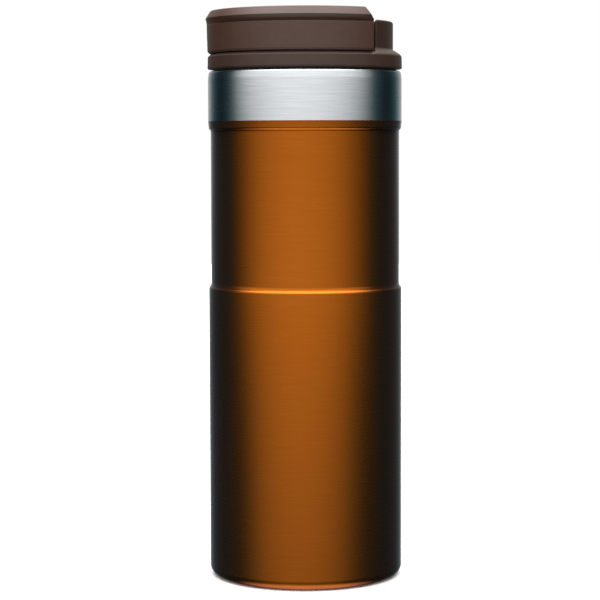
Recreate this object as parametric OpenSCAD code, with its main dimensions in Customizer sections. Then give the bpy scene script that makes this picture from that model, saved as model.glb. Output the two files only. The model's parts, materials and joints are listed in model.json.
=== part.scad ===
// Double-wall vacuum travel mug with a screw-in lid and a flip-top drinking cover.
// Millimetres. The origin is the centre of the base, +Z is up, and the cover's hinge is on the +X side.

/* [Mug] */
// Radius of the lower body, which has to fit a cup holder
body_r = 36.36; // [35:0.02:38]
// Height at which the lower body steps in to the neck
step_z = 108; // [90:1:120]
// Height at which the neck flares out again to the shoulder
flare_z = 167.6; // [150:0.1:168]
// Height of the edge between the lacquer and the bare steel band
paint_z = 171.7; // [171:0.1:173]
// Height of the steel rim that the lid closes on
rim_z = 190.3; // [190:0.1:196]
// Thickness of the outer steel sheet
shell_t = 0.6; // [0.4:0.1:0.8]
// Thickness of the liner's steel sheet
liner_t = 0.5; // [0.4:0.1:0.6]

/* [Thread] */
// Height that the lid climbs in one turn, with two starts
thread_lead = 8; // [7:0.5:10]
// Height of the thread's ridges
thread_h = 1.2; // [0.8:0.1:1.4]

/* [Lid] */
// Height of the flange that shows as a ring above the steel
flange_h = 5; // [4:0.1:6]
// Length of the drinking hole
drink_l = 18; // [12:1:20]
// Width of the drinking hole
drink_w = 8; // [5:0.5:9]

/* [Flip cover] */
// Wall thickness of the cover's skirt and top
cover_t = 2; // [1.6:0.1:2.4]
// Radius of the hinge pin
pin_r = 1.25; // [1:0.05:1.3]
// Angle to which the cover is drawn open
cover_open = 0; // [0:5:120]

/* [Hidden] */
$fn = 96;

amber = "#a8600f";
steel = "#c6cccf";
brown = "#56463f";
dark_brown = "#3d322d";
silicone = "#2f2926";
copper = "#b87346";
glass = "#7d8a8f";

// Outer shell
corner_r = 3.8;
neck_r = body_r - 0.91;
shoulder_r = body_r + 0.04;
step_h = 1.7;
flare_h = 1.9;
hem_r = body_r - 6.86;
hem_h = 3;

// Band and rim
band_top_r = shoulder_r - 0.3;
band_taper_z = rim_z - 3.3;
rim_round = 1;
rim_weld_r = body_r - 2.46;
weld_gap = 0.02;
liner_r = body_r - 4.46;
liner_round = 1.3;

// Liner's bottom and what hangs under it
liner_floor_z = 9.5;
liner_corner_r = 7;
liner_weld_z = 20;
foil_r = liner_r + liner_t + 0.6;
foil_t = 0.1;
disc_z = 2.4;
disc_t = 0.8;
dimple_r = 6;
dimple_h = 1.2;
getter_r = 6;
getter_h = 1.5;
clip_t = 0.3;
clip_w = 3;
clip_half = 8;

// Thread: the liner's ridges lie midway between the plug's
thread_clear = 0.4;
plug_r = liner_r - thread_clear - thread_h - 0.1;
thread_pitch = thread_lead / 2;
thread_z = rim_z - 14.8;

// Lid body
flange_z = rim_z + 0.7;
flange_top = flange_z + flange_h;
flange_r = body_r + 0.13;
flange_bevel = 0.6;
flange_draft = 0.14;
seat_z = flange_top + 0.6;
turret_r = body_r - 3.26;
cone_top = flange_top + 1.9;
cavity_r = plug_r + 0.1;
low_deck = seat_z + 1.4;
low_under = seat_z - 1;
basin_floor = seat_z + 5.9;
basin_under = basin_floor - 3;
basin_lip = seat_z + 8.4;
basin_x = 9;
basin_t = 2.2;
groove_in = cavity_r + 1;
groove_out = body_r - 1.86;
groove_h = 1.6;

// Hinge
hinge_x = turret_r - 4.6;
hinge_z = flange_z + 15.7;
block_x = hinge_x - 2.9;
block_top = hinge_z + 1.8;
block_edge = 0.75;
slot_half = 8.5;
knuckle_half = 8.2;
knuckle_r = 2.1;
arm_low = 1.9;
arm_high = 0.9;
slot_wall = 1.1;
pin_blind = 12.8;
pin_open = 13.4;
pin_clear = 0.05;

// Flip cover
cover_base = flange_top + 0.9;
cover_top = flange_z + 21.7;
cover_end = block_x - 0.5;
skirt_in = body_r - 2.06;
bevel_foot = cover_top - 4.4;
bevel_run = 2.75;
end_wall_base = low_deck + 0.4;
ceiling = cover_top - cover_t;
liner_plate_r = skirt_in - 1.9;
liner_plate_z = ceiling - 2.1;

// Drinking and vent passages
drink_x = -22;
vent_x = 2;
vent_r = 1.5;
plug_floor_z = rim_z - 18.8;
plug_floor_t = 2;
plug_t = 1.8;
plug_chamfer = 1.5;
tube_t = 1.5;
seal_t = 1.2;
far = 100;

// Points of an arc about (x, y), from angle a to angle b
function arc(x, y, r, a, b, n = 6) =
    [for (i = [0:n]) let (t = a + (b - a) * i / n) [x + r * cos(t), y + r * sin(t)]];

// Points of an S-shaped step from (r0, z0) up to (r1, z1), upright at both ends
function s_step(r0, z0, r1, z1, n = 5) =
    let (
        w = abs(r1 - r0) / 2,
        h = (z1 - z0) / 2,
        r = (w * w + h * h) / (2 * w),
        t = asin(h / r),
        s = sign(r1 - r0)
    )
    concat(
        [for (i = [0:n]) let (a = t * i / n) [r0 + s * r * (1 - cos(a)), z0 + r * sin(a)]],
        [for (i = [1:n]) let (a = t * (n - i) / n) [r1 - s * r * (1 - cos(a)), z1 - r * sin(a)]]
    );

// The same points with every radius reduced, for the inside of a sheet of that thickness
function inset(points, t) = [for (i = [len(points) - 1:-1:0]) [points[i][0] - t, points[i][1]]];

// Rounded slot across X, centred at x
module slot_2d(x, l, w) {
    translate([x, 0]) {
        square([w, l - w], center = true);
        for (s = [-1, 1]) translate([0, s * (l - w) / 2]) circle(d = w);
    }
}

// The part of the children that lies in an outline drawn in the XZ plane
module within(outline) {
    intersection() {
        children();
        rotate([90, 0, 0]) linear_extrude(height = far, center = true) polygon(outline);
    }
}

module turned(points) {
    rotate_extrude() polygon(points);
}

// Height of a ridge along its length: it grows from nothing and fades out again
function ridge(i, n, fade) = min(1, i / fade, (n - i) / fade);

// One helical ridge from a wall of radius wall_r to radius crest_r, over the given turn
module thread_ridge(wall_r, crest_r, z, turn) {
    steps = round(turn / 9);
    side = sign(crest_r - wall_r);
    root_r = wall_r - side * 0.25;
    hidden_r = wall_r - side * 0.1;
    root_w = 2.1;
    crest_w = 1.1;
    points = [
        for (i = [0:steps])
            let (
                a = turn * i / steps,
                c = hidden_r + (crest_r - hidden_r) * ridge(i, steps, 3),
                h = z + thread_lead * a / 360
            )
            for (q = [[root_r, -root_w / 2], [c, -crest_w / 2], [c, crest_w / 2], [root_r, root_w / 2]])
                [q[0] * cos(a), q[0] * sin(a), h + q[1]]
    ];
    sides = [
        for (i = [0:steps - 1], k = [0:3])
            let (a = 4 * i + k, b = 4 * i + (k + 1) % 4)
            each [[a, a + 4, b], [b, a + 4, b + 4]]
    ];
    last = 4 * steps;
    ends = [[0, 1, 2], [0, 2, 3], [last, last + 2, last + 1], [last, last + 3, last + 2]];
    faces = concat(sides, ends);
    polyhedron(points, side < 0 ? faces : [for (f = faces) [f[0], f[2], f[1]]]);
}

module double_thread(wall_r, crest_r, z, turn) {
    for (s = [0, 180]) rotate(s) thread_ridge(wall_r, crest_r, z, turn);
}

// Lacquered outer shell, from the hem under the base to the foot of the steel band
module outer_shell() {
    wall = concat(
        s_step(body_r, step_z, neck_r, step_z + step_h),
        s_step(neck_r, flare_z, shoulder_r, flare_z + flare_h)
    );
    base = arc(body_r - corner_r, corner_r, corner_r, -90, 0, 8);
    base_in = arc(body_r - corner_r, corner_r, corner_r - shell_t, 0, -90, 8);
    color(amber) turned(concat(
        [[hem_r, 0]],
        base,
        wall,
        [[shoulder_r, paint_z], [shoulder_r - shell_t, paint_z]],
        inset(wall, shell_t),
        base_in,
        [[hem_r + shell_t, shell_t], [hem_r + shell_t, hem_h], [hem_r, hem_h]]
    ));
}

// Bare steel top of the outer wall, rolled in over the rim
module mouth_band() {
    round_r = band_top_r - rim_round;
    color(steel) turned(concat(
        [[shoulder_r, paint_z], [shoulder_r, band_taper_z]],
        arc(round_r, rim_z - rim_round, rim_round, 0, 90),
        [[rim_weld_r + weld_gap, rim_z], [rim_weld_r + weld_gap, rim_z - shell_t]],
        arc(round_r, rim_z - rim_round, rim_round - shell_t, 90, 0),
        [[shoulder_r - shell_t, band_taper_z], [shoulder_r - shell_t, paint_z]]
    ));
}

// Inner wall with its rolled thread, flared out to the rim
module inner_liner() {
    outside = liner_r + liner_t;
    round_z = rim_z - liner_round;
    color(steel) {
        turned(concat(
            [[liner_r, liner_weld_z], [outside, liner_weld_z]],
            arc(liner_r + liner_round, round_z, liner_round - liner_t, 180, 90),
            [[rim_weld_r, rim_z - liner_t], [rim_weld_r, rim_z]],
            arc(liner_r + liner_round, round_z, liner_round, 90, 180)
        ));
        double_thread(liner_r, liner_r - thread_h, thread_z + thread_pitch / 2, 360);
    }
}

// Drawn cup that closes the liner
module liner_bottom() {
    corner_x = liner_r - liner_corner_r;
    corner_z = liner_floor_z + liner_corner_r;
    color(steel) turned(concat(
        [[0, liner_floor_z]],
        arc(corner_x, corner_z, liner_corner_r, -90, 0, 10),
        [[liner_r, liner_weld_z], [liner_r + liner_t, liner_weld_z]],
        arc(corner_x, corner_z, liner_corner_r + liner_t, 0, -90, 10),
        [[0, liner_floor_z - liner_t]]
    ));
}

// Radiation foil wrapped round the liner in the vacuum
module heat_foil() {
    color(copper) difference() {
        translate([0, 0, liner_weld_z]) cylinder(r = foil_r + foil_t, h = flare_z - liner_weld_z);
        translate([0, 0, -far / 2]) cylinder(r = foil_r, h = 3 * far);
    }
}

// Recessed steel disc that closes the vacuum, with a pressed ring and a raised centre
module base_disc() {
    bead_r = 20;
    bead_w = 4;
    bead_h = 0.6;
    under = [
        [dimple_r, disc_z + dimple_h], [dimple_r + 1, disc_z],
        [bead_r - bead_w, disc_z], [bead_r - bead_w + 1, disc_z + bead_h],
        [bead_r + bead_w - 1, disc_z + bead_h], [bead_r + bead_w, disc_z],
        [hem_r - weld_gap, disc_z]
    ];
    color(steel) difference() {
        turned(concat(
            [[0, disc_z + dimple_h]], under,
            [for (i = [len(under) - 1:-1:0]) [under[i][0], under[i][1] + disc_t]],
            [[0, disc_z + dimple_h + disc_t]]
        ));
        cylinder(r = 0.8, h = far);
    }
}

// Glass solder bead that seals the pumping hole
module evacuation_seal() {
    z = disc_z + dimple_h;
    color(glass) turned([[0, z - 1], [3.6, z - 1], [4.6, z - 0.4], [4.6, z], [0, z]]);
}

// Pellet that soaks up the last gas in the vacuum
module getter() {
    color(dark_brown) translate([0, 0, liner_floor_z - liner_t - getter_h])
        cylinder(r = getter_r, h = getter_h);
}

// Steel strap that holds the pellet under the liner
module getter_clip() {
    top = liner_floor_z - liner_t;
    under = top - getter_h;
    color(steel) {
        translate([-clip_half, -clip_w / 2, under - clip_t]) cube([2 * clip_half, clip_w, clip_t]);
        for (s = [0, 1]) mirror([s, 0, 0]) {
            translate([clip_half - clip_t, -clip_w / 2, under]) cube([clip_t, clip_w, top - under]);
            translate([clip_half, -clip_w / 2, top - clip_t]) cube([2.5, clip_w, clip_t]);
        }
    }
}

// Ring between the lid's flange and the steel rim
module lid_gasket() {
    color(silicone) turned([
        [groove_in + 0.3, rim_z + 0.35], [groove_in + 0.6, rim_z + 0.05],
        [groove_out - 0.6, rim_z + 0.05], [groove_out - 0.3, rim_z + 0.35],
        [groove_out - 0.3, flange_z + groove_h - 0.3], [groove_in + 0.3, flange_z + groove_h - 0.3]
    ]);
}

// The turret's outline in the XZ plane: basin at the left, low deck, hinge block at the right
module turret() {
    rounded = concat([[0, low_under]], [[turret_r, low_under]],
        arc(turret_r - block_edge, block_top - block_edge, block_edge, 0, 90), [[0, block_top]]);
    edge = block_edge;
    within([
        [-far / 2, low_under], [far / 2, low_under], [far / 2, block_top], [block_x + edge, block_top],
        [block_x, block_top - edge], [block_x, low_deck], [basin_x, low_deck], [basin_x, basin_lip],
        [-far / 2, basin_lip]
    ]) turned(rounded);
}

// Upper moulding: flange, drinking basin and hinge block
module lid_body() {
    color(brown) difference() {
        union() {
            turned([
                [cavity_r, flange_z], [flange_r - flange_bevel, flange_z],
                [flange_r, flange_z + flange_bevel], [flange_r - flange_draft, flange_top],
                [flange_r - flange_draft - flange_bevel, seat_z], [cavity_r, seat_z]
            ]);
            within([[block_x, flange_top], [far / 2, flange_top], [far / 2, far * 3], [block_x, far * 3]])
                turned([
                    [cavity_r, flange_top], [flange_r - flange_draft, flange_top],
                    [turret_r, cone_top], [cavity_r, cone_top]
                ]);
            turret();
        }
        // Drinking basin, its passage and the vent
        within([
            [-far / 2, basin_floor], [basin_x - basin_t, basin_floor],
            [basin_x - basin_t, far * 3], [-far / 2, far * 3]
        ]) translate([0, 0, basin_floor]) cylinder(r = turret_r - basin_t, h = far);
        linear_extrude(height = 3 * far) slot_2d(drink_x, drink_l, drink_w);
        translate([vent_x, 0, 0]) cylinder(r = vent_r, h = 3 * far);
        // Hollow under the basin
        within([
            [-far / 2, low_under - 1], [basin_x - basin_t, low_under - 1],
            [basin_x - basin_t, basin_under], [-far / 2, basin_under]
        ]) cylinder(r = turret_r - basin_t - 0.6, h = 3 * far);
        // Groove for the gasket
        translate([0, 0, flange_z - 1]) difference() {
            cylinder(r = groove_out, h = groove_h + 1);
            cylinder(r = groove_in, h = 3 * groove_h);
        }
        // Slot for the cover's knuckle, and the bore for its pin, blind at the -Y end
        intersection() {
            translate([block_x - 1, -slot_half, hinge_z - knuckle_r - 0.4]) cube([far, 2 * slot_half, far]);
            cylinder(r = turret_r - slot_wall, h = 3 * far);
        }
        translate([hinge_x, far, hinge_z]) rotate([90, 0, 0])
            cylinder(r = pin_r + pin_clear, h = far + pin_blind + 0.2);
    }
}

// Threaded cup under the lid, with the drinking and vent tubes
module lid_plug() {
    top = low_under;
    drink_top = basin_under - seal_t;
    inner_r = plug_r - plug_t;
    color(dark_brown) difference() {
        union() {
            turned([
                [0, plug_floor_z], [plug_r - plug_chamfer, plug_floor_z],
                [plug_r, plug_floor_z + plug_chamfer], [plug_r, top],
                [inner_r, top], [inner_r, plug_floor_z + plug_floor_t], [0, plug_floor_z + plug_floor_t]
            ]);
            intersection() {
                translate([0, 0, plug_floor_z + 1]) linear_extrude(height = drink_top - plug_floor_z - 1)
                    slot_2d(drink_x, drink_l + 2 * tube_t, drink_w + 2 * tube_t);
                cylinder(r = plug_r - 0.5, h = 3 * far);
            }
            translate([vent_x, 0, plug_floor_z + 1])
                cylinder(r = vent_r + tube_t, h = drink_top - plug_floor_z - 1);
            double_thread(plug_r, plug_r + thread_h, thread_z, 324);
        }
        linear_extrude(height = 3 * far) slot_2d(drink_x, drink_l, drink_w);
        translate([vent_x, 0, 0]) cylinder(r = vent_r, h = 3 * far);
    }
}

// Seal between the drinking tube and the underside of the basin
module drink_channel_seal() {
    color(silicone) translate([0, 0, basin_under - seal_t]) linear_extrude(height = seal_t) difference() {
        slot_2d(drink_x, drink_l + 2.4, drink_w + 2.4);
        slot_2d(drink_x, drink_l, drink_w);
    }
}

// Seal between the vent tube and the underside of the basin
module vent_channel_seal() {
    color(silicone) translate([vent_x, 0, basin_under - seal_t])
        linear_extrude(height = seal_t) difference() {
            circle(r = vent_r + 1.4);
            circle(r = vent_r);
        }
}

module hinge_pin() {
    color(steel) translate([hinge_x, pin_open, hinge_z]) rotate([90, 0, 0])
        cylinder(r = pin_r, h = pin_open + pin_blind);
}

// The cover's moving pieces turn together about the hinge
module flipped() {
    translate([hinge_x, 0, hinge_z]) rotate([0, cover_open, 0])
        translate([-hinge_x, 0, -hinge_z]) children();
}

// Outline that keeps the cover clear of the hinge block: upright end, then leaning back to the top
function cover_side(x, foot, lean, top) =
    [[-far / 2, flange_z], [x, flange_z], [x, foot], [x - lean, top], [-far / 2, top]];

// Outer moulding of the flip cover, with the lip for the thumb and the hinge knuckle
module cover_shell() {
    lip_r = body_r + 0.91;
    nose_z = cover_top - 3.4;
    skirt_top = cover_top - 5.5;
    top_r = body_r - 1.36;
    outline = concat(
        [[0, cover_base], [body_r - 0.7, cover_base], [body_r + 0.12, cover_base + 0.8],
            [body_r + 0.38, skirt_top]],
        [for (i = [1:6]) let (t = i / 6) [body_r + 0.38 + (lip_r - body_r - 0.38) * (1 - cos(90 * t)),
            skirt_top + (nose_z - skirt_top) * sin(90 * t)]],
        [[lip_r, cover_top - 2.5]],
        [[(lip_r + top_r) / 2 + 0.15, cover_top - 1.05], [top_r, cover_top], [0, cover_top]]
    );
    lean = bevel_run * (cover_top + 3 - bevel_foot) / (cover_top - bevel_foot);
    inside_round = 1.5;
    hollow = concat(
        [[0, 0], [skirt_in, 0]],
        arc(skirt_in - inside_round, ceiling - inside_round, inside_round, 0, 90),
        [[0, ceiling]]
    );
    color(brown) flipped() difference() {
        union() {
            within(cover_side(cover_end, bevel_foot, lean, cover_top + 3)) turned(outline);
            translate([cover_end - 1.5, -knuckle_half, hinge_z - arm_low])
                cube([hinge_x - cover_end + 1.5, 2 * knuckle_half, arm_low + arm_high]);
            translate([hinge_x, 0, hinge_z]) rotate([90, 0, 0])
                cylinder(r = knuckle_r, h = 2 * knuckle_half, center = true);
        }
        within(cover_side(cover_end - cover_t, bevel_foot - 1, bevel_run, ceiling + 1)) turned(hollow);
        translate([0, 0, -far / 2]) cylinder(r = skirt_in, h = end_wall_base + far / 2);
        translate([hinge_x, 0, hinge_z]) rotate([90, 0, 0])
            cylinder(r = pin_r + pin_clear, h = far, center = true);
    }
}

// Block of the drinking hole's outline, larger or smaller all round, from height z
module slot_block(z, h, more) {
    translate([0, 0, z]) linear_extrude(height = h) slot_2d(drink_x, drink_l + more, drink_w + more);
}

// Inner panel of the cover, with the posts that carry its seals
module cover_liner() {
    post = basin_floor + 0.8;
    color(dark_brown) flipped() {
        within(cover_side(cover_end - cover_t - 2.5, bevel_foot, 0, ceiling))
            translate([0, 0, liner_plate_z]) cylinder(r = liner_plate_r, h = ceiling - liner_plate_z);
        slot_block(post, liner_plate_z - post + 0.5, -4);
        translate([vent_x, 0, post]) cylinder(r = 1.2, h = liner_plate_z - post + 0.5);
    }
}

// Stopper for the drinking hole, pushed over its post
module drink_seal() {
    base = basin_floor + 0.05;
    color(silicone) flipped() difference() {
        union() {
            slot_block(base, 1.4, 3);
            slot_block(base, 3.6, -1);
            slot_block(base - 1.3, 2, -1.8);
        }
        slot_block(base + 0.7, 5, -3.9);
    }
}

// Stopper for the vent hole, pushed over its post
module vent_seal() {
    base = basin_floor + 0.05;
    color(silicone) flipped() translate([vent_x, 0, 0]) difference() {
        union() {
            translate([0, 0, base]) cylinder(r = vent_r + 1.6, h = 1.2);
            translate([0, 0, base]) cylinder(r = vent_r + 0.7, h = 3);
            translate([0, 0, base - 1]) cylinder(r = vent_r - 0.5, h = 2);
        }
        translate([0, 0, base + 0.7]) cylinder(r = 1.25, h = 5);
    }
}

outer_shell();
mouth_band();
inner_liner();
liner_bottom();
heat_foil();
base_disc();
evacuation_seal();
getter();
getter_clip();
lid_gasket();
lid_body();
lid_plug();
drink_channel_seal();
vent_channel_seal();
hinge_pin();
cover_shell();
cover_liner();
drink_seal();
vent_seal();
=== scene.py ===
import json
import math

import bmesh
import bpy
from mathutils import Matrix, Vector


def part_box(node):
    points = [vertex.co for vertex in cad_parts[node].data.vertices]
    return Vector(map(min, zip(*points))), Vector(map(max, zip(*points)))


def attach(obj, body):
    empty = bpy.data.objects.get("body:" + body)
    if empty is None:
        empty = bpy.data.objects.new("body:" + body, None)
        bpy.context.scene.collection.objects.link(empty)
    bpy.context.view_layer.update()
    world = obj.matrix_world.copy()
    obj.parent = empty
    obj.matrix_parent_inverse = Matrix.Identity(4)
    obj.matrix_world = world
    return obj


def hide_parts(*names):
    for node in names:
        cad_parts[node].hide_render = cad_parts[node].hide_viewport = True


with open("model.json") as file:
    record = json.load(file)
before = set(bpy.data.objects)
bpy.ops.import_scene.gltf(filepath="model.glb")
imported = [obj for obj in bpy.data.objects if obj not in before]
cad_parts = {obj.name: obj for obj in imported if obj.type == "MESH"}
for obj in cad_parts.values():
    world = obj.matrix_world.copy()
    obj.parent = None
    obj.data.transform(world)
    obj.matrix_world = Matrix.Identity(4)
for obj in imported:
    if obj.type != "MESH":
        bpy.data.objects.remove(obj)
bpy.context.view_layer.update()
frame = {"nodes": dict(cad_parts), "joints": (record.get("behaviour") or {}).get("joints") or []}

# A stepped vacuum travel mug with a screw lid and a flip-top cover. Outlines are in millimetres, worked
# out from the CAD nodes' boxes, and every mesh ends up in metres in the CAD frame.

MM = 0.001
STEPS = 192          # sides of a turned piece
SHARP = 32           # degrees above which an edge stays crisp
SOFTENED = 38        # degrees above which an edge that cutting leaves is rounded


# ---------------------------------------------------------------- sizes, from the frame

def box_mm(node):
    """Lowest and highest corner of a CAD node, in millimetres."""
    low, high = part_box(node)
    return low / MM, high / MM


def joint_place(name):
    """A joint's axis point, in millimetres."""
    return Vector(next(j for j in frame["joints"] if j["name"] == name)["pos_m"]) / MM


shell_high = box_mm("outer_shell")[1]
band_high = box_mm("mouth_band")[1]
liner_high = box_mm("inner_liner")[1]
cup_low, cup_high = box_mm("liner_bottom")
disc_low, disc_high = box_mm("base_disc")
solder_low, solder_high = box_mm("evacuation_seal")
gasket_low, gasket_high = box_mm("lid_gasket")
lid_low, lid_high = box_mm("lid_body")
plug_low = box_mm("lid_plug")[0]
cover_low, cover_high = box_mm("cover_shell")
panel_low, panel_high = box_mm("cover_liner")
vent_low, vent_high = box_mm("vent_seal")
pin_low, pin_high = box_mm("hinge_pin")
hinge = joint_place("cover_flip")

# Mug
shoulder_r = shell_high.x
paint_z = shell_high.z
body_r = shoulder_r - 0.04
neck_r = body_r - 0.91
step_z, step_tilt, step_share = 108.9, 42, 0.27
flare_z, flare_tilt, flare_share = 167.8, 50, 0.5
flare_r = shoulder_r - 0.22
corner_r = 3.8
shell_t = 0.6
hem_r, hem_h = disc_high.x, 3.0
rim_z = band_high.z
band_top_r, band_roll = shoulder_r - 0.3, 1
weld_r, weld_z = liner_high.x, cup_high.z
liner_t, liner_roll = 0.5, 1.3
liner_r = cup_high.x - liner_t
cup_corner = 7
thread_lead, thread_h = 8.0, 1.2
thread_z = rim_z - 14.8                 # where the ridges start, at the plug
liner_thread_z = thread_z + thread_lead / 4

# Lid
flange_z = lid_low.z
flange_r = lid_high.x
flange_top = flange_z + 5
seat_z = flange_top + 0.6
turret_r = body_r - 3.26
cone_top = flange_top + 1.9
block_top = lid_high.z
low_deck, low_under = seat_z + 1.4, seat_z - 1
basin_floor, basin_under, basin_lip = seat_z + 5.9, seat_z + 2.9, seat_z + 8.4
basin_x, basin_t = 9.0, 2.2
basin_corner = 3.4
block_x, block_corner = hinge.x - 2.9, 0.35
slot_half = 8.5
pin_r = pin_high.z - hinge.z
plug_r, plug_t, plug_floor_t = liner_r - 1.7, 1.8, 2
cavity_r = plug_r + 0.1
drink = Vector((-22.0, 18.0, 8.0))      # place along X, length, width
vent_x, vent_r = (vent_low.x + vent_high.x) / 2, 1.5

# Cover
cover_base, cover_top = cover_low.z, cover_high.z
lip_r = -cover_low.x
cover_t = 2.0
cover_end = block_x - 0.5
skirt_in = body_r - 2.06
bevel_foot, bevel_run = cover_top - 4.4, 2.75
ceiling = cover_top - cover_t
knuckle_half, knuckle_r = 8.2, 2.1
arm_low, arm_high = 1.9, 0.9


# ---------------------------------------------------------------- outlines

def arc(x, y, r, start, end, n=8):
    """Points of an arc about (x, y), with angles in degrees."""
    angles = [math.radians(start + (end - start) * i / n) for i in range(n + 1)]
    return [(x + r * math.cos(a), y + r * math.sin(a)) for a in angles]


def wall_step(r0, z0, r1, tilt, share, n=9):
    """A step from an upright wall at r0 to one at r1: two arcs that meet at a tilt in degrees. The lower
    one has its share of the whole."""
    tilt = math.radians(tilt)
    total, side = abs(r1 - r0) / (1 - math.cos(tilt)), math.copysign(1, r1 - r0)
    low, high, top = total * share, total * (1 - share), z0 + total * math.sin(tilt)
    turns = [tilt * i / n for i in range(n + 1)]
    return ([(r0 + side * low * (1 - math.cos(a)), z0 + low * math.sin(a)) for a in turns]
            + [(r1 - side * high * (1 - math.cos(a)), top - high * math.sin(a)) for a in turns[-2::-1]])


def rounded(*corners, n=5):
    """A closed outline from (x, y) or (x, y, radius) corners, with those corners rounded."""
    points = []
    for i, (x, y, *radius) in enumerate(corners):
        here = Vector((x, y))
        if not radius or radius[0] <= 0:
            points.append((x, y))
            continue
        to_last = (Vector(corners[i - 1][:2]) - here).normalized()
        to_next = (Vector(corners[(i + 1) % len(corners)][:2]) - here).normalized()
        half = to_last.angle(to_next) / 2
        centre = here + (to_last + to_next).normalized() * (radius[0] / math.sin(half))
        reach = radius[0] / math.tan(half)
        a = here + to_last * reach - centre
        b = here + to_next * reach - centre
        sweep = math.atan2(a.x * b.y - a.y * b.x, a.dot(b))
        points += [tuple(centre + Matrix.Rotation(sweep * k / n, 2) @ a) for k in range(n + 1)]
    return points


def inset(points, t):
    """The same points in reverse order, with every radius smaller by t."""
    return [(r - t, z) for r, z in reversed(points)]


def slot_outline(x, length, width, n=10):
    """A slot along Y with round ends, centred at x."""
    half = (length - width) / 2
    return arc(x, half, width / 2, 0, 180, n) + arc(x, -half, width / 2, 180, 360, n)


# ---------------------------------------------------------------- meshes

def finish_mesh(name, bm):
    """An object from a bmesh in millimetres, with crisp edges only where the surface really turns."""
    bmesh.ops.remove_doubles(bm, verts=bm.verts, dist=1e-4)
    bmesh.ops.dissolve_degenerate(bm, edges=bm.edges, dist=1e-4)
    bmesh.ops.recalc_face_normals(bm, faces=bm.faces)
    bm.transform(Matrix.Scale(MM, 4))
    mesh = bpy.data.meshes.new(name)
    bm.to_mesh(mesh)
    bm.free()
    mesh.shade_smooth()
    mesh.set_sharp_from_angle(angle=math.radians(SHARP))
    piece = bpy.data.objects.new(name, mesh)
    bpy.context.scene.collection.objects.link(piece)
    return piece


def turned(name, outline, steps=STEPS):
    """A closed outline of (radius, height) points turned about the mug's axis."""
    bm = bmesh.new()
    rings = []
    turn = 2 * math.pi / steps
    for r, z in outline:
        if r < 1e-6:
            rings.append([bm.verts.new((0, 0, z))] * steps)
        else:
            rings.append([bm.verts.new((r * math.cos(turn * k), r * math.sin(turn * k), z))
                          for k in range(steps)])
    for low, high in zip(rings, rings[1:] + rings[:1]):
        for k in range(steps):
            corners = [low[k], low[k - 1], high[k - 1], high[k]]
            corners = [v for i, v in enumerate(corners) if v not in corners[:i]]
            if len(corners) > 2:
                bm.faces.new(corners)
    return finish_mesh(name, bm)


def prism(name, outline, low, high, plane="XY"):
    """An outline in the XY plane raised from low to high, or one in the XZ plane run along Y."""
    bm = bmesh.new()
    place = (lambda x, y, h: (x, y, h)) if plane == "XY" else (lambda x, y, h: (x, h, y))
    ends = [[bm.verts.new(place(x, y, h)) for x, y in outline] for h in (low, high)]
    bm.faces.new(ends[0])
    bm.faces.new(reversed(ends[1]))
    for i in range(len(outline)):
        bm.faces.new([ends[0][i - 1], ends[0][i], ends[1][i], ends[1][i - 1]])
    return finish_mesh(name, bm)


def rod(name, x, z, r, low, high, steps=48):
    """A round bar along Y."""
    return prism(name, arc(x, z, r, 0, 360, steps)[:-1], low, high, plane="XZ")


def turned_at(name, x, outline, steps=48):
    """A small turned piece whose axis stands at X = x."""
    piece = turned(name, outline, steps)
    piece.data.transform(Matrix.Translation((x * MM, 0, 0)))
    return piece


def lay_along_y(piece):
    """Swaps Y and Z, so that a piece lofted upwards on an outline in X and Z runs along Y."""
    swap = Matrix(((1, 0, 0, 0), (0, 0, 1, 0), (0, 1, 0, 0), (0, 0, 0, 1)))
    piece.data.transform(swap)
    piece.data.flip_normals()


def smooth_step(t):
    """Eases from 0 to 1, held at both ends."""
    t = min(1, max(0, t))
    return t * t * (3 - 2 * t)


def helix_ridge(wall_r, crest_r, z, degrees, start):
    """One rounded screw ridge on a wall, which grows from nothing and fades out again."""
    bm = bmesh.new()
    side = math.copysign(1, crest_r - wall_r)
    steps, fade_steps = round(degrees / 3), 9
    sunk, buried = 0.1, 0.25            # how far its ends and its foot go into the wall
    rings = []
    for i in range(steps + 1):
        a = math.radians(degrees * i / steps)
        fade = smooth_step(min(i, steps - i) / fade_steps)
        crest = wall_r - side * sunk + (crest_r - wall_r + side * sunk) * fade
        height = z + thread_lead * a / (2 * math.pi)
        foot, rise = wall_r - side * buried, crest - wall_r
        half = [(foot, 1.05), (wall_r + rise * 0.15, 0.85), (wall_r + rise * 0.8, 0.6), (crest, 0.36)]
        section = [(r, -h) for r, h in half] + half[::-1]
        turn = a + math.radians(start)
        rings.append([bm.verts.new((r * math.cos(turn), r * math.sin(turn), height + h))
                      for r, h in section])
    for low, high in zip(rings, rings[1:]):
        for k in range(len(low)):
            bm.faces.new([low[k - 1], low[k], high[k], high[k - 1]])
    bm.faces.new(rings[0])
    bm.faces.new(rings[-1])
    return finish_mesh("ridge", bm)


def keep_side(piece, point, normal):
    """Cuts a closed piece at a plane, keeps what lies behind the plane's normal and closes the cut."""
    bm = bmesh.new()
    bm.from_mesh(piece.data)
    cut = bmesh.ops.bisect_plane(
        bm, geom=bm.verts[:] + bm.edges[:] + bm.faces[:], dist=1e-7,
        plane_co=Vector(point) * MM, plane_no=Vector(normal), clear_outer=True,
    )["geom_cut"]
    edges = [e for e in cut if isinstance(e, bmesh.types.BMEdge)]
    bmesh.ops.triangle_fill(bm, edges=edges, use_beauty=True, use_dissolve=True)
    bmesh.ops.recalc_face_normals(bm, faces=bm.faces)
    bm.to_mesh(piece.data)
    bm.free()


def drop(piece):
    """Removes a piece that has done its cutting."""
    mesh = piece.data
    bpy.data.objects.remove(piece)
    bpy.data.meshes.remove(mesh)


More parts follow.
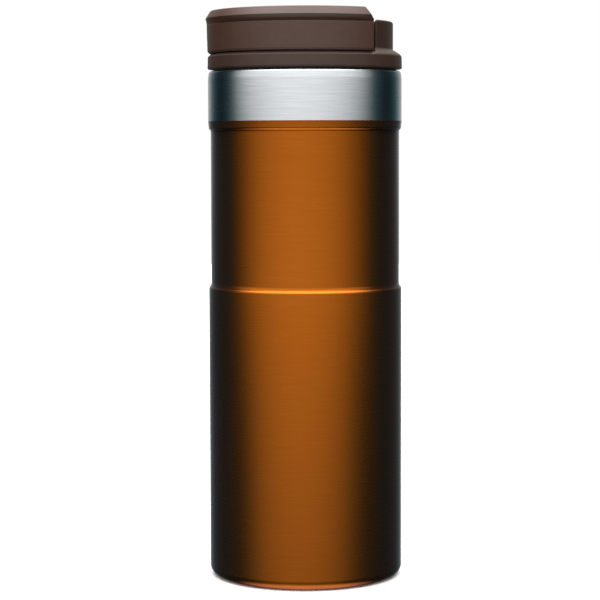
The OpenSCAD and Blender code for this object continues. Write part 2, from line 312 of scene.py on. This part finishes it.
def bake_modifiers(piece):
    """Replaces the piece's mesh by what its modifiers make of it."""
    graph = bpy.context.evaluated_depsgraph_get()
    made = bpy.data.meshes.new_from_object(piece.evaluated_get(graph))
    old = piece.data
    piece.modifiers.clear()
    piece.data = made
    made.name = piece.name
    bpy.data.meshes.remove(old)


def boolean(piece, operation, *tools):
    """Cuts or joins closed pieces, one tool after another."""
    for tool in tools:
        m = piece.modifiers.new("boolean", "BOOLEAN")
        m.operation, m.solver, m.object = operation, "EXACT", tool
        bake_modifiers(piece)
        drop(tool)


def soften(piece, width):
    """Rounds the crisp edges that cutting leaves."""
    bm = bmesh.new()
    bm.from_mesh(piece.data)
    bmesh.ops.remove_doubles(bm, verts=bm.verts, dist=0.02 * MM)
    bmesh.ops.dissolve_limit(bm, angle_limit=math.radians(0.3), verts=bm.verts, edges=bm.edges,
                             delimit={"SHARP"})
    bm.to_mesh(piece.data)
    bm.free()
    m = piece.modifiers.new("edges", "BEVEL")
    m.width, m.segments = width * MM, 2
    m.limit_method, m.angle_limit = "ANGLE", math.radians(SOFTENED)
    m.use_clamp_overlap = True
    bake_modifiers(piece)
    piece.data.shade_smooth()
    piece.data.set_sharp_from_angle(angle=math.radians(SHARP))
    m = piece.modifiers.new("normals", "WEIGHTED_NORMAL")
    m.keep_sharp = True
    bake_modifiers(piece)


# ---------------------------------------------------------------- materials

def node(tree, kind, inputs=None, **settings):
    """A shader node with its settings and inputs: an input is a value or another node's output."""
    made = tree.nodes.new(kind)
    for key, value in settings.items():
        setattr(made, key, value)
    for key, value in (inputs or {}).items():
        if isinstance(value, bpy.types.NodeSocket):
            tree.links.new(value, made.inputs[key])
        else:
            made.inputs[key].default_value = value
    return made


def new_material(name, **principled):
    """A material with its tree, its object coordinates and its main shader, ready for detail."""
    made = bpy.data.materials.new(name)
    made.use_nodes = True
    tree = made.node_tree
    shader = tree.nodes["Principled BSDF"]
    for key, value in principled.items():
        shader.inputs[key.replace("_", " ")].default_value = value
    return made, tree, shader, tree.nodes.new("ShaderNodeTexCoord").outputs["Object"]


def noise(tree, place, scale, detail=2.0, roughness=0.5):
    """Noise whose scale is given for each axis, in cells per metre."""
    mapped = node(tree, "ShaderNodeMapping", {"Vector": place, "Scale": scale})
    return node(tree, "ShaderNodeTexNoise", {"Vector": mapped.outputs[0], "Scale": 1.0, "Detail": detail,
                                             "Roughness": roughness}).outputs["Fac"]


def ramp(tree, value, low, high, to_low, to_high):
    """A value carried from one range to another, without going past its ends."""
    return node(tree, "ShaderNodeMapRange", {"Value": value, "From Min": low, "From Max": high,
                                             "To Min": to_low, "To Max": to_high}).outputs["Result"]


def maths(tree, operation, a, b=0.0):
    """A sum on one or two values."""
    return node(tree, "ShaderNodeMath", {0: a, 1: b}, operation=operation).outputs[0]


def blend_colour(tree, factor, a, b):
    """A colour between two (red, green, blue) colours."""
    return node(tree, "ShaderNodeMix", {"Factor": factor, "A": (*a, 1), "B": (*b, 1)},
                data_type="RGBA").outputs["Result"]


def blend_value(tree, factor, a, b):
    """A value between two values."""
    return node(tree, "ShaderNodeMix", {"Factor": factor, "A": a, "B": b},
                data_type="FLOAT").outputs["Result"]


def streaks(tree, place, along, across, detail=3.0):
    """Fine brushed grain that runs round the mug: long cells round the axis, short ones up it."""
    split = node(tree, "ShaderNodeSeparateXYZ", {"Vector": place})
    turn = maths(tree, "ARCTAN2", split.outputs["Y"], split.outputs["X"])
    reach = maths(tree, "SQRT", maths(tree, "ADD", maths(tree, "POWER", split.outputs["X"], 2.0),
                                      maths(tree, "POWER", split.outputs["Y"], 2.0)))
    around = node(tree, "ShaderNodeCombineXYZ", {
        "X": maths(tree, "COSINE", turn), "Y": maths(tree, "SINE", turn),
        "Z": maths(tree, "SUBTRACT", split.outputs["Z"], reach)})
    return noise(tree, around.outputs[0], (along, along, across), detail, 0.6)


def bump(tree, shader, height, strength, distance):
    """Gives the shader a bump from a height, with its distance in metres."""
    made = node(tree, "ShaderNodeBump", {"Strength": strength, "Distance": distance, "Height": height})
    tree.links.new(made.outputs["Normal"], shader.inputs["Normal"])


def brushed_metal(name, light, dark, rough, spread, grain=1.0, **principled):
    """Metal with grain round the mug's axis, which spreads its highlights up and down."""
    made, tree, shader, place = new_material(name, Metallic=1.0, Anisotropic_Rotation=0.25, **principled)
    fine = streaks(tree, place, 3.0, 5600)
    broad = streaks(tree, place, 1.4, 1500, 2.0)
    shade = maths(tree, "ADD", maths(tree, "MULTIPLY", fine, 0.75), maths(tree, "MULTIPLY", broad, 0.25))
    reach = 0.18 / grain
    factor = ramp(tree, shade, 0.5 - reach, 0.5 + reach, 0.0, 1.0)
    tree.links.new(blend_colour(tree, factor, dark, light), shader.inputs["Base Color"])
    tree.links.new(ramp(tree, shade, 0.3, 0.7, rough + spread, rough - spread), shader.inputs["Roughness"])
    tree.links.new(node(tree, "ShaderNodeTangent", direction_type="RADIAL", axis="Z").outputs[0],
                   shader.inputs["Tangent"])
    bump(tree, shader, fine, 0.12 * grain, 0.00002)
    return made


def moulded_plastic(name, colour, rough, gloss=0.5, texture=0.1):
    """Satin plastic with the fine spark texture of its mould and a slight unevenness of tone."""
    made, tree, shader, place = new_material(name, Specular_IOR_Level=gloss)
    mottle = noise(tree, place, (420, 420, 420), 3.0)
    grain = noise(tree, place, (5200, 5200, 5200), 2.0, 0.7)
    rub = noise(tree, place, (35, 35, 60), 4.0)
    darker = tuple(c * 0.93 for c in colour)
    lighter = tuple(c * 1.06 for c in colour)
    factor = ramp(tree, mottle, 0.3, 0.7, 0.0, 1.0)
    tree.links.new(blend_colour(tree, factor, darker, lighter), shader.inputs["Base Color"])
    tree.links.new(ramp(tree, rub, 0.3, 0.7, rough - 0.05, rough + 0.05), shader.inputs["Roughness"])
    bump(tree, shader, grain, texture, 0.00005)
    return made


def plain_finish(name, colour, rough, cells, vary=0.12, texture=0.1, **principled):
    """A small piece's finish: mottled colour, uneven gloss and a little texture."""
    made, tree, shader, place = new_material(name, **principled)
    spots = noise(tree, place, (cells, cells, cells), 4.0)
    factor = ramp(tree, spots, 0.3, 0.7, 0.0, 1.0)
    darker = tuple(c * (1 - vary) for c in colour)
    lighter = tuple(min(1, c * (1 + vary)) for c in colour)
    tree.links.new(blend_colour(tree, factor, darker, lighter), shader.inputs["Base Color"])
    tree.links.new(ramp(tree, spots, 0.3, 0.7, rough - 0.06, rough + 0.06), shader.inputs["Roughness"])
    bump(tree, shader, spots, texture, 0.0001)
    return made


AMBER = brushed_metal(
    "amber_lacquer", (0.53, 0.134, 0.0022), (0.43, 0.106, 0.0016), rough=0.27, spread=0.03, grain=0.8,
    Anisotropic=0.3, Specular_Tint=(0.0, 0.0, 0.0, 1.0),
    Coat_Weight=1.0, Coat_Roughness=0.1, Coat_IOR=1.2, Coat_Tint=(0.92, 0.90, 0.88, 1.0),
    Sheen_Weight=0.05, Sheen_Roughness=0.5, Sheen_Tint=(0.8, 0.95, 1.0, 1.0),
)
STEEL = brushed_metal("brushed_steel", (0.76, 0.78, 0.795), (0.60, 0.62, 0.635), rough=0.24, spread=0.05,
                      Anisotropic=0.65)
LINER_STEEL = brushed_metal("liner_steel", (0.62, 0.63, 0.63), (0.54, 0.55, 0.55), rough=0.26, spread=0.04,
                            grain=0.6, Anisotropic=0.4)
BASE_STEEL = brushed_metal("base_steel", (0.60, 0.61, 0.62), (0.50, 0.51, 0.52), rough=0.3, spread=0.05,
                           Anisotropic=0.5)
BROWN = moulded_plastic("brown_plastic_cover", (0.072, 0.032, 0.019), 0.44, gloss=0.55)
RING_BROWN = moulded_plastic("brown_plastic_lid", (0.050, 0.024, 0.015), 0.44, gloss=0.45)
PLUG_BROWN = moulded_plastic("plug_plastic", (0.045, 0.024, 0.017), 0.4, texture=0.06)
SILICONE = plain_finish("silicone", (0.040, 0.032, 0.028), 0.62, 900)
PIN_STEEL = plain_finish("spring_steel", (0.60, 0.60, 0.60), 0.3, 700, Metallic=1.0)
FOIL = plain_finish("foil", (0.80, 0.80, 0.80), 0.24, 160, texture=0.6, Metallic=1.0)
GLASS = plain_finish("solder_glass", (0.20, 0.24, 0.26), 0.14, 300, texture=0.05, Coat_Weight=0.4)
GETTER = plain_finish("getter", (0.18, 0.18, 0.18), 0.8, 2500, texture=0.4)


def wear(piece, material):
    """Gives a piece one finish all over."""
    piece.data.materials.clear()
    piece.data.materials.append(material)


def stands_for(piece, body, slot, material, *nodes):
    """Puts a finished piece on its body, in place of its CAD nodes, with its finish."""
    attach(piece, body)
    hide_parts(*nodes)
    wear(piece, material)


# ---------------------------------------------------------------- mug

base_corner = arc(body_r - corner_r, corner_r, corner_r, -90, 0, 14)
waist = (wall_step(body_r, step_z, neck_r, step_tilt, step_share)
         + wall_step(neck_r, flare_z, flare_r, flare_tilt, flare_share))
shell = turned("shell_look", [
    (hem_r, 0.35), (hem_r + 0.35, 0), *base_corner, *waist,
    (shoulder_r, paint_z - 0.05), (shoulder_r - 0.06, paint_z), (shoulder_r - shell_t, paint_z),
    *inset(waist, shell_t),
    *arc(body_r - corner_r, corner_r, corner_r - shell_t, 0, -90, 14),
    (hem_r + shell_t, shell_t), (hem_r + shell_t, hem_h), (hem_r, hem_h),
])
stands_for(shell, "mug", "amber_lacquer", AMBER, "outer_shell")

band_taper = rim_z - 3.3
band = turned("band_look", [
    (shoulder_r - 0.03, paint_z + 0.01), (shoulder_r - 0.03, band_taper),
    (shoulder_r - 0.05, band_taper + 0.8),
    *arc(band_top_r - band_roll, rim_z - band_roll, band_roll, 0, 90, 10),
    (weld_r + 0.02, rim_z), (weld_r + 0.02, rim_z - shell_t),
    *arc(band_top_r - band_roll, rim_z - band_roll, band_roll - shell_t, 90, 0, 6),
    (shoulder_r - shell_t, band_taper), (shoulder_r - shell_t, paint_z + 0.01),
])
stands_for(band, "mug", "brushed_steel", STEEL, "mouth_band")

liner = turned("liner_look", [
    (liner_r, weld_z + 0.3), (liner_r + 0.12, weld_z), (liner_r + liner_t, weld_z),
    *arc(liner_r + liner_roll, rim_z - liner_roll, liner_roll - liner_t, 180, 90, 8),
    (weld_r, rim_z - liner_t), (weld_r, rim_z),
    *arc(liner_r + liner_roll, rim_z - liner_roll, liner_roll, 90, 180, 8),
])
for start in (0, 180):
    boolean(liner, "UNION", helix_ridge(liner_r, liner_r - thread_h, liner_thread_z, 360, start))
soften(liner, 0.25)
stands_for(liner, "mug", "liner_steel", LINER_STEEL, "inner_liner")

cup_floor = cup_low.z + liner_t
bottom = turned("liner_bottom_look", [
    (0, cup_floor), *arc(liner_r - cup_corner, cup_floor + cup_corner, cup_corner, -90, 0, 16),
    (liner_r, weld_z - 0.3), (liner_r + 0.12, weld_z), (liner_r + liner_t, weld_z),
    *arc(liner_r - cup_corner, cup_floor + cup_corner, cup_corner + liner_t, 0, -90, 16), (0, cup_low.z),
])
stands_for(bottom, "mug", "liner_steel", LINER_STEEL, "liner_bottom")

disc_z, disc_t, dimple = disc_low.z, 0.8, 1.2
pressing = [(r, disc_z + rise) for r, rise in (      # its middle is dimpled, and a ring is pressed into it
    (0.8, dimple), (5.6, dimple), (6.0, dimple - 0.15), (6.9, 0.15), (7.3, 0),
    (15.6, 0), (16.1, 0.12), (16.8, 0.48), (17.3, 0.6), (22.7, 0.6), (23.2, 0.48), (23.9, 0.12), (24.4, 0),
    (hem_r - 0.6, 0), (hem_r - 0.02, 0.4))]
upper = [(r, z + disc_t) for r, z in reversed(pressing)]
upper[0] = (upper[0][0], upper[0][1] - 0.4)
disc = turned("base_disc_look", pressing + upper)
stands_for(disc, "mug", "base_steel", BASE_STEEL, "base_disc")

bead_z = solder_high.z
bead = turned("solder_look", [
    (0, bead_z), (4.6, bead_z), (4.6, bead_z - 0.3), *arc(3.8, bead_z - 0.3, 0.7, 0, -60, 5), (0, solder_low.z),
], 64)
stands_for(bead, "mug", "solder_glass", GLASS, "evacuation_seal")

seal_in, seal_out = plug_r + 1.4, -gasket_low.x
gasket = turned("gasket_look", rounded(
    (seal_in, gasket_low.z, 0.5), (seal_out, gasket_low.z, 0.5), (seal_out, gasket_high.z, 0.2),
    (seal_in, gasket_high.z, 0.2),
))
stands_for(gasket, "seal_ring", "silicone", SILICONE, "lid_gasket")


# ---------------------------------------------------------------- outlines cut by an upright plane

def cut_round(r, edge, corner, side=1, n=150):
    """A circle of radius r about the axis, cut straight at X = edge, with rounded corners there.
    side 1 keeps what lies below the edge, and side -1 what lies above it."""
    if edge >= r - 0.01:
        edge, corner = r - 0.011, 0.001
    x = edge - side * corner
    y = math.sqrt(max((r - corner) ** 2 - x * x, 0))
    meet = math.degrees(math.atan2(y, x))
    line = [(edge, y * side * (k / 4 - 1)) for k in range(8)]
    if side > 0:
        return (line + arc(x, y, corner, 0, meet, 8)[:-1] + arc(0, 0, r, meet, 360 - meet, n)
                + arc(x, -y, corner, 360 - meet, 360, 8)[1:-1])
    return (line + arc(x, -y, corner, 180, 360 - meet, 8)[:-1] + arc(0, 0, r, -meet, meet, n)
            + arc(x, y, corner, meet, 180, 8)[1:-1])


def lofted(name, *levels):
    """Closed outlines at rising or falling heights, each (outline, height), joined and capped."""
    bm = bmesh.new()
    rings = [[bm.verts.new((x, y, z)) for x, y in outline] for outline, z in levels]
    for low, high in zip(rings, rings[1:]):
        for k in range(len(low)):
            bm.faces.new([low[k - 1], low[k], high[k], high[k - 1]])
    bm.faces.new(rings[0])
    bm.faces.new(rings[-1])
    return finish_mesh(name, bm)


def slot_loft(name, x, length, width, *levels):
    """A slot-shaped block: each level is (amount by which the slot grows, height)."""
    return lofted(name, *[(slot_outline(x, length + 2 * g, width + 2 * g), z) for g, z in levels])


def hinge_bar(name, r, low, high, chamfer, steps):
    """A round bar along the hinge's axis, with chamfered ends."""
    bar = lofted(name, *[(arc(hinge.x, hinge.z, radius, 0, 360, steps)[:-1], y) for radius, y in (
        (r - chamfer, low), (r, low + chamfer), (r, high - chamfer), (r - chamfer, high))])
    lay_along_y(bar)
    return bar


# ---------------------------------------------------------------- lid

ring_top_r = flange_r - 0.14
flange = turned("lid_look", rounded(
    (cavity_r, flange_z), (flange_r, flange_z, 0.6), (ring_top_r, flange_top - 0.4, 0.4),
    (ring_top_r - 1.0, seat_z - 0.02, 0.4), (ring_top_r - 2.0, seat_z), (cavity_r, seat_z),
))
cone = turned("cone", [
    (cavity_r, flange_top - 1), (ring_top_r - 0.5, flange_top - 1), (ring_top_r - 0.15, flange_top - 0.1),
    (ring_top_r - 0.7, flange_top + 0.5), (turret_r + 0.7, cone_top - 0.22), (turret_r + 0.2, cone_top),
    (turret_r + 0.04, cone_top + 0.4), (turret_r - 0.5, cone_top + 0.4), (cavity_r, cone_top),
])
keep_side(cone, (block_x, 0, 0), (-1, 0, 0))
deck = prism("deck", arc(0, 0, turret_r - 0.15, 0, 360, STEPS)[:-1], low_under, low_deck)

edge_r = 0.8
block_round = arc(edge_r, block_top - edge_r, edge_r, 180, 90, 6)     # the top edge's (inset, height)
block = lofted("block", (cut_round(turret_r, block_x, block_corner, -1), low_deck - 1),
               *[(cut_round(turret_r - i, block_x + i, block_corner, -1), z) for i, z in block_round])

tray_lip = (basin_t - 0.01) / 2
lip_round = arc(tray_lip, basin_lip - tray_lip, tray_lip, 180, 0, 12)
floor_round = [(1 - x, z) for x, z in arc(1, basin_floor + 1, 1, 0, -90, 6)]
tray = lofted(
    "tray", (cut_round(turret_r, basin_x, basin_corner), low_under),
    *[(cut_round(turret_r - i, basin_x - i, basin_corner - i), z) for i, z in lip_round],
    *[(cut_round(turret_r - basin_t - i, basin_x - basin_t - i, 1.2), z) for i, z in floor_round],
)
under = turned("under", [(0, low_under - 1), (turret_r - basin_t - 0.6, low_under - 1),
                         *arc(turret_r - basin_t - 1.4, basin_under - 0.8, 0.8, 0, 90, 5), (0, basin_under)])
keep_side(under, (basin_x - basin_t, 0, 0), (1, 0, 0))
groove = turned("groove", [(cavity_r + 1, flange_z - 1), (body_r - 1.86, flange_z - 1),
                           (body_r - 1.86, flange_z + 1.6), (cavity_r + 1, flange_z + 1.6)])
slot_floor = hinge.z - knuckle_r - 0.4
knuckle_slot = prism("knuckle_slot", [
    (block_x - 4, slot_floor), (turret_r + 5, slot_floor),
    (turret_r + 5, block_top + 5), (block_x - 4, block_top + 5),
], -slot_half, slot_half, plane="XZ")
slot_back = arc(0, 0, turret_r - 1.1, 0, 360, STEPS)[:-1]
boolean(knuckle_slot, "INTERSECT", prism("slot_back", slot_back, slot_floor - 1, block_top + 6))
boolean(flange, "UNION", deck, cone, block, tray)
boolean(
    flange, "DIFFERENCE", under, groove, knuckle_slot,
    slot_loft("hole", drink.x, drink.y, drink.z,
              (0, low_under - 2), (0, basin_floor - 0.8), (0.9, basin_floor + 0.6)),
    turned_at("vent", vent_x, [(0, low_under - 2), (vent_r, low_under - 2), (vent_r, basin_floor - 0.4),
                               (vent_r + 0.9, basin_floor + 0.5), (0, basin_floor + 0.5)]),
    rod("bore", hinge.x, hinge.z, pin_r + 0.05, pin_low.y - 0.2, turret_r + 5),
)
soften(flange, 0.25)
stands_for(flange, "lid", "brown_plastic", RING_BROWN, "lid_body")

plug_floor, drink_top = plug_low.z, basin_under - 1.2
plug = turned("plug_look", [
    (0, plug_floor), *arc(plug_r - 2, plug_floor + 2, 2, -90, 0, 8),
    (plug_r, low_under - 0.3), (plug_r - 0.3, low_under),
    (plug_r - plug_t + 0.3, low_under), (plug_r - plug_t, low_under - 0.3),
    (plug_r - plug_t, plug_floor + plug_floor_t + 0.8), (plug_r - plug_t - 0.8, plug_floor + plug_floor_t),
    (0, plug_floor + plug_floor_t),
])
tube_t = 1.5
tube = slot_loft("tube", drink.x, drink.y, drink.z, (tube_t, plug_floor + 1), (tube_t, drink_top))
tube_limit = arc(0, 0, plug_r - 0.5, 0, 360, STEPS)[:-1]
boolean(tube, "INTERSECT", prism("limit", tube_limit, plug_floor, drink_top + 1))
boolean(plug, "UNION", tube, turned_at("vent_tube", vent_x, [
    (0, plug_floor + 1), (vent_r + tube_t, plug_floor + 1), (vent_r + tube_t, drink_top), (0, drink_top)]))
for start in (0, 180):
    boolean(plug, "UNION", helix_ridge(plug_r, plug_r + thread_h, thread_z, 324, start))
boolean(
    plug, "DIFFERENCE",
    slot_loft("hole", drink.x, drink.y, drink.z,
              (1.2, plug_floor - 1), (1.2, plug_floor - 0.1), (0, plug_floor + 1), (0, basin_floor)),
    turned_at("vent", vent_x, [
        (0, plug_floor - 1), (vent_r + 0.8, plug_floor - 1), (vent_r + 0.8, plug_floor - 0.1),
        (vent_r, plug_floor + 0.7), (vent_r, basin_floor), (0, basin_floor)]),
)
soften(plug, 0.25)
stands_for(plug, "lid", "plug_plastic", PLUG_BROWN, "lid_plug")

pin = hinge_bar("pin_look", pin_r, pin_low.y, pin_high.y, 0.25, 40)
stands_for(pin, "lid", "spring_steel", PIN_STEEL, "hinge_pin")


# ---------------------------------------------------------------- flip cover

top_r, skirt_r, brow_r = body_r - 1.36, body_r + 0.37, lip_r - 0.15
brow_foot, brow_z, brow_cut = cover_top - 5.4, cover_top - 3.1, 1.3
brow_side, brow_end = 9, 4              # runs over which the undercut fades, at the lip and at the end
brow_clear = 0.3                        # the last of the end that it leaves alone
brow_steps = 12
end_round, end_chamfer = 0.9, 0.3       # the end wall's top and bottom edges


def cover_edge(z):
    """Where the cover's end plane stands at a height: upright, then leaning back."""
    return cover_end - max(0, z - bevel_foot) * bevel_run / (cover_top - bevel_foot)


def rounded_edge(z):
    """The end plane's place with its top edge rounded and its bottom edge chamfered."""
    top = end_round - math.sqrt(max(end_round ** 2 - max(0, z - cover_top + end_round) ** 2, 0))
    return cover_edge(z) - top - max(0, end_chamfer - (z - cover_base))


brow = [(body_r - 0.7, cover_base), (body_r - 0.45, cover_base + 0.12), (body_r, cover_base + 0.6),
        (body_r + 0.12, cover_base + 0.95), (skirt_r - 0.01, brow_foot - 0.9), (skirt_r, brow_foot - 0.3)]
brow += [(skirt_r + (brow_r - skirt_r) * t ** 2, brow_foot + (brow_z - brow_foot) * t)
         for t in (k / brow_steps for k in range(brow_steps + 1))]
brow += [(brow_r + 0.05, brow_z + 0.12), (brow_r - 0.02, brow_z + 0.34),
         (top_r + 0.45, cover_top - 0.22), (top_r + 0.15, cover_top - 0.05), (top_r - 0.35, cover_top)]
cover = lofted("cover_look", *[(cut_round(r, rounded_edge(z), 1.0), z) for r, z in brow])
for v in cover.data.vertices:           # the brow is cut under all round, but not at the lip
    x, y, z = v.co / MM
    climb = (z - brow_foot) / (brow_z - brow_foot)
    if 0.05 < climb < 1:
        pull = brow_cut * (1 - climb) * smooth_step((x + lip_r) / brow_side) / lip_r
        v.co.y *= 1 - pull
        v.co.x *= 1 - pull * min(1, max(0, (cover_edge(z) - brow_clear - x) / brow_end))
arm = prism("arm", [
    (cover_end - 1.6, hinge.z - arm_low), (hinge.x, hinge.z - arm_low), (hinge.x, hinge.z + arm_high),
    (cover_end - 1.6, hinge.z + arm_high)], -knuckle_half, knuckle_half, plane="XZ")
barrel = hinge_bar("barrel", knuckle_r, -knuckle_half, knuckle_half, 0.3, 64)
wall_x = cover_end - cover_t


def hollow_edge(z):
    """The inside of the cover's end wall, which leans back like its outside."""
    return wall_x - max(0, z - bevel_foot + 1) * bevel_run / (ceiling + 2 - bevel_foot)


hollow_r = 1.5
hollow = lofted("hollow", *[
    (cut_round(skirt_in - i, hollow_edge(z) - i, hollow_r), z)
    for i, z in [(0, cover_base - 1), (0, bevel_foot - 1)]
    + [(hollow_r - x, z) for x, z in arc(0, ceiling - hollow_r, hollow_r, 0, 90, 6)]])
step_cut = prism("step_cut", arc(0, 0, skirt_in, 0, 360, STEPS)[:-1], cover_base - 1, low_deck + 0.4)
boolean(cover, "UNION", arm, barrel)
boolean(cover, "DIFFERENCE", hollow, step_cut,
        rod("bore", hinge.x, hinge.z, pin_r + 0.05, -knuckle_half - 1, knuckle_half + 1))
soften(cover, 0.3)
stands_for(cover, "cover", "brown_plastic", BROWN, "cover_shell")

post_z, panel_z = basin_floor + 0.8, panel_high.z - 2.1
panel_r = -panel_low.x
panel = lofted("panel_look", *[(cut_round(panel_r - i, panel_high.x - i, 2.0), z) for i, z in (
    (0.5, panel_z), (0.15, panel_z + 0.15), (0, panel_z + 0.5), (0, panel_high.z))])
boolean(panel, "UNION",
        slot_loft("post", drink.x, drink.y - 6, drink.z - 4, (0, post_z), (0, panel_z + 0.5)),
        turned_at("vent_post", vent_x, [(0, post_z), (1.2, post_z), (1.2, panel_z + 0.5), (0, panel_z + 0.5)]))
soften(panel, 0.2)
stands_for(panel, "cover", "plug_plastic", PLUG_BROWN, "cover_liner")

seal_z = basin_floor + 0.05
stopper = slot_loft(
    "stopper_look", drink.x, drink.y, drink.z,
    (-1.6, seal_z - 1.3), (-1.15, seal_z - 1.2), (-0.9, seal_z - 0.9), (-0.9, seal_z),
    (1.2, seal_z), (1.5, seal_z + 0.3), (1.5, seal_z + 1.0), (1.1, seal_z + 1.4),
    (-0.5, seal_z + 1.5), (-0.5, seal_z + 3.3), (-0.8, seal_z + 3.6),
    (-1.9, seal_z + 3.6), (-1.95, seal_z + 3.4), (-1.95, seal_z + 0.7))
stands_for(stopper, "cover", "silicone", SILICONE, "drink_seal")

vent_stop = turned_at("vent_stop_look", vent_x, [
    (0, seal_z - 1), (vent_r - 0.8, seal_z - 1), (vent_r - 0.5, seal_z - 0.7), (vent_r - 0.5, seal_z),
    (vent_r + 1.4, seal_z), (vent_r + 1.6, seal_z + 0.2), (vent_r + 1.6, seal_z + 1.0),
    (vent_r + 1.4, seal_z + 1.2), (vent_r + 0.7, seal_z + 1.25), (vent_r + 0.7, seal_z + 2.8),
    (vent_r + 0.5, seal_z + 3), (1.25, seal_z + 3), (1.25, seal_z + 0.7), (0, seal_z + 0.7)])
stands_for(vent_stop, "cover", "silicone", SILICONE, "vent_seal")

# Small parts inside the walls keep their CAD shape
for name, material in (("heat_foil", FOIL), ("getter", GETTER), ("getter_clip", PIN_STEEL),
                       ("drink_channel_seal", SILICONE), ("vent_channel_seal", SILICONE)):
    wear(frame["nodes"][name], material)

# ---------------------------------------------------------------- stage, light and camera

FLOOR_SIZE = 4.0
bm = bmesh.new()
bmesh.ops.create_grid(bm, x_segments=8, y_segments=8, size=FLOOR_SIZE / 2)
floor_mesh = bpy.data.meshes.new("floor")
bm.to_mesh(floor_mesh)
bm.free()
floor = bpy.data.objects.new("floor", floor_mesh)
bpy.context.scene.collection.objects.link(floor)
floor.visible_glossy = floor.visible_diffuse = False      # the studio's light from below passes through it
paper, tree, shader, place = new_material("paper", Roughness=0.7, Specular_IOR_Level=0.25)
tree.links.new(blend_colour(tree, noise(tree, place, (3, 3, 3)), (0.86, 0.86, 0.86), (0.90, 0.90, 0.90)),
               shader.inputs["Base Color"])
floor_mesh.materials.append(paper)


def curve_of(tree, value, points):
    """A smooth curve of a value from 0 to 1 through (place, height) points."""
    made = node(tree, "ShaderNodeFloatCurve", {"Value": value})
    curve = made.mapping.curves[0]
    while len(curve.points) < len(points):
        curve.points.new(0.5, 0.5)
    for point, (x, y) in zip(curve.points, sorted(points)):
        point.location = (x, y)
    made.mapping.update()
    return made.outputs["Value"]


# A studio all round: a broad soft light in front, narrower below the horizon, dark cloths at both sides, a
# pale wall behind, a lit ceiling, and light from beneath. Heights run from 0, straight down, to 1, straight
# up, and the way round from 0, in front, to 1, behind.
LEFTWARD = 0.07                         # how far it is all turned to the left, in radians at the sides
HORIZON, CEILING, BENEATH = (0.503, 0.513), (0.72, 0.82), (0.25, 0.14)
FRONT_LIGHT, CEILING_LIGHT, BENEATH_LIGHT = 1.2, 4.6, 1.5
world = bpy.data.worlds.new("studio")
bpy.context.scene.world = world
world.use_nodes = True
tree = world.node_tree
tree.nodes.clear()
direction = tree.nodes.new("ShaderNodeTexCoord").outputs["Generated"]
toward = node(tree, "ShaderNodeSeparateXYZ", {"Vector": direction})
lean = maths(tree, "MULTIPLY", maths(tree, "SUBTRACT", 1.0, toward.outputs["Y"]), LEFTWARD)
bearing = maths(tree, "ARCTAN2", toward.outputs["X"], maths(tree, "MULTIPLY", toward.outputs["Y"], -1.0))
across = maths(tree, "DIVIDE", maths(tree, "ABSOLUTE", maths(tree, "ADD", lean, bearing)), math.pi)
height = ramp(tree, maths(tree, "ARCSINE", toward.outputs["Z"]), -math.pi / 2, math.pi / 2, 0.0, 1.0)
SIDES = [(0.55, 0.04), (0.6, 0.018), (0.68, 0.018), (0.75, 0.06), (0.82, 0.2), (0.9, 0.4), (1, 0.7)]
wide = curve_of(tree, across, [(0, 1.0), (0.12, 0.98), (0.22, 0.94), (0.3, 0.89), (0.35, 0.8), (0.4, 0.66),
                               (0.45, 0.43), (0.5, 0.18)] + SIDES)
narrow = curve_of(tree, across, [(0, 1.0), (0.08, 0.96), (0.16, 0.84), (0.25, 0.6), (0.32, 0.37), (0.39, 0.17),
                                 (0.46, 0.055)] + SIDES)
around = blend_value(tree, ramp(tree, height, *HORIZON, 0.0, 1.0), narrow, wide)
fall = curve_of(tree, height, [(0, 0.2), (0.33, 0.2), (0.39, 0.3), (0.43, 0.54), (0.46, 0.59), (0.48, 0.62),
                               (0.49, 0.74), (0.5, 1.1), (1, 1.1)])
front = maths(tree, "MULTIPLY", around, fall)
overhead = ramp(tree, height, *CEILING, 0.0, 1.0)
beneath = ramp(tree, height, *BENEATH, 0.0, 1.0)
sky = blend_value(tree, overhead, maths(tree, "MULTIPLY", front, FRONT_LIGHT), CEILING_LIGHT)
strength = blend_value(tree, beneath, sky, BENEATH_LIGHT)
tint = blend_colour(tree, ramp(tree, strength, 0.0, 0.3, 0.0, 1.0), (0.3, 0.9, 1.05), (0.99, 0.995, 1.0))
lit = node(tree, "ShaderNodeBackground", {"Color": tint, "Strength": strength})
seen = node(tree, "ShaderNodeBackground", {"Color": (1.0, 1.0, 1.0, 1), "Strength": 1.0})
is_seen = tree.nodes.new("ShaderNodeLightPath").outputs["Is Camera Ray"]
choose = node(tree, "ShaderNodeMixShader", {"Fac": is_seen, 1: lit.outputs[0], 2: seen.outputs[0]})
node(tree, "ShaderNodeOutputWorld", {"Surface": choose.outputs[0]})

EYE, AIM = Vector((-0.0020, -0.780, 0.164)), Vector((-0.0020, 0.0, 0.1042))
ROLL = math.radians(-0.15)
camera = bpy.data.objects.new("camera", bpy.data.cameras.new("camera"))
camera.data.lens = 123.9
camera.data.sensor_width = 36
camera.data.clip_start, camera.data.clip_end = 0.05, 20
camera.location = EYE
aimed = (AIM - EYE).to_track_quat("-Z", "Y").to_matrix()
camera.rotation_euler = (aimed @ Matrix.Rotation(ROLL, 3, "Z")).to_euler()
bpy.context.scene.collection.objects.link(camera)
bpy.context.scene.camera = camera
bpy.context.scene.view_settings.view_transform = "Standard"
